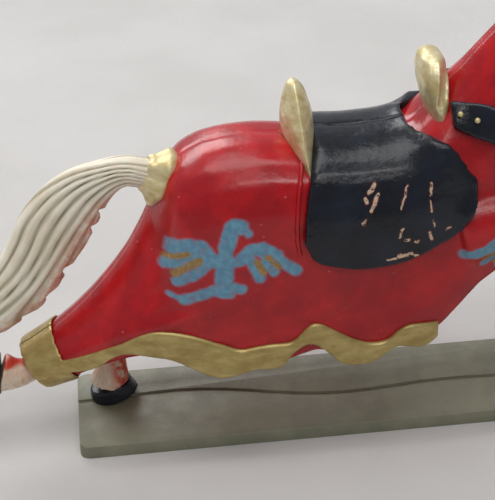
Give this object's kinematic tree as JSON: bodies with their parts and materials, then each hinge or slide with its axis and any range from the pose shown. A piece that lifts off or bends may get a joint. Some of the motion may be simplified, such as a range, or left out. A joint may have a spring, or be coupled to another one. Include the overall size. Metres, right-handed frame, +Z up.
{
  "type": "tournament horse figure",
  "caption": "Moulded plastic tournament horse at full stretch in a red cloth with gilt hem, black saddle and plumed ivory tail, on a flat ground plate.",
  "frame": {"origin": "middle of the ground plate's underside, on the horse's seam plane", "axes": "+X the way the horse gallops, +Z up, the glued seam lies in the plane Y = 0 and the horse's right side is at -Y"},
  "size_m": [0.1278, 0.0262, 0.0845],
  "materials": {
    "red_paint": "glossy hand painted red over hard plastic",
    "gilt_paint": "old gold paint, satin",
    "ivory_plastic": "bare ivory plastic with shaded grooves",
    "black_paint": "glossy blue-black paint",
    "base_green": "grey-green moulded plastic"
  },
  "bodies": {
    "root": {"base_plate": "base_green", "body_half_right": "red_paint", "body_half_left": "red_paint", "hem_right": "gilt_paint", "hem_left": "gilt_paint", "hind_cuff_right": "gilt_paint", "hind_cuff_left": "gilt_paint", "saddle_half_right": "black_paint", "saddle_half_left": "black_paint", "cantle": "gilt_paint", "pommel": "gilt_paint", "breast_strap_right": "black_paint", "breast_strap_left": "black_paint", "strap_studs": "gilt_paint", "tail": "ivory_plastic", "tail_collar": "gilt_paint", "hind_leg_right": "ivory_plastic", "hind_hoof_right": "black_paint", "hind_leg_left": "ivory_plastic", "hind_hoof_left": "black_paint", "fore_leg_right": "ivory_plastic", "fore_hoof_right": "black_paint", "fore_leg_left": "ivory_plastic", "fore_hoof_left": "black_paint", "fore_cuff_right": "gilt_paint", "fore_cuff_left": "gilt_paint", "muzzle": "ivory_plastic", "ears": "red_paint", "eyes": "black_paint"}
  },
  "joints": []
}
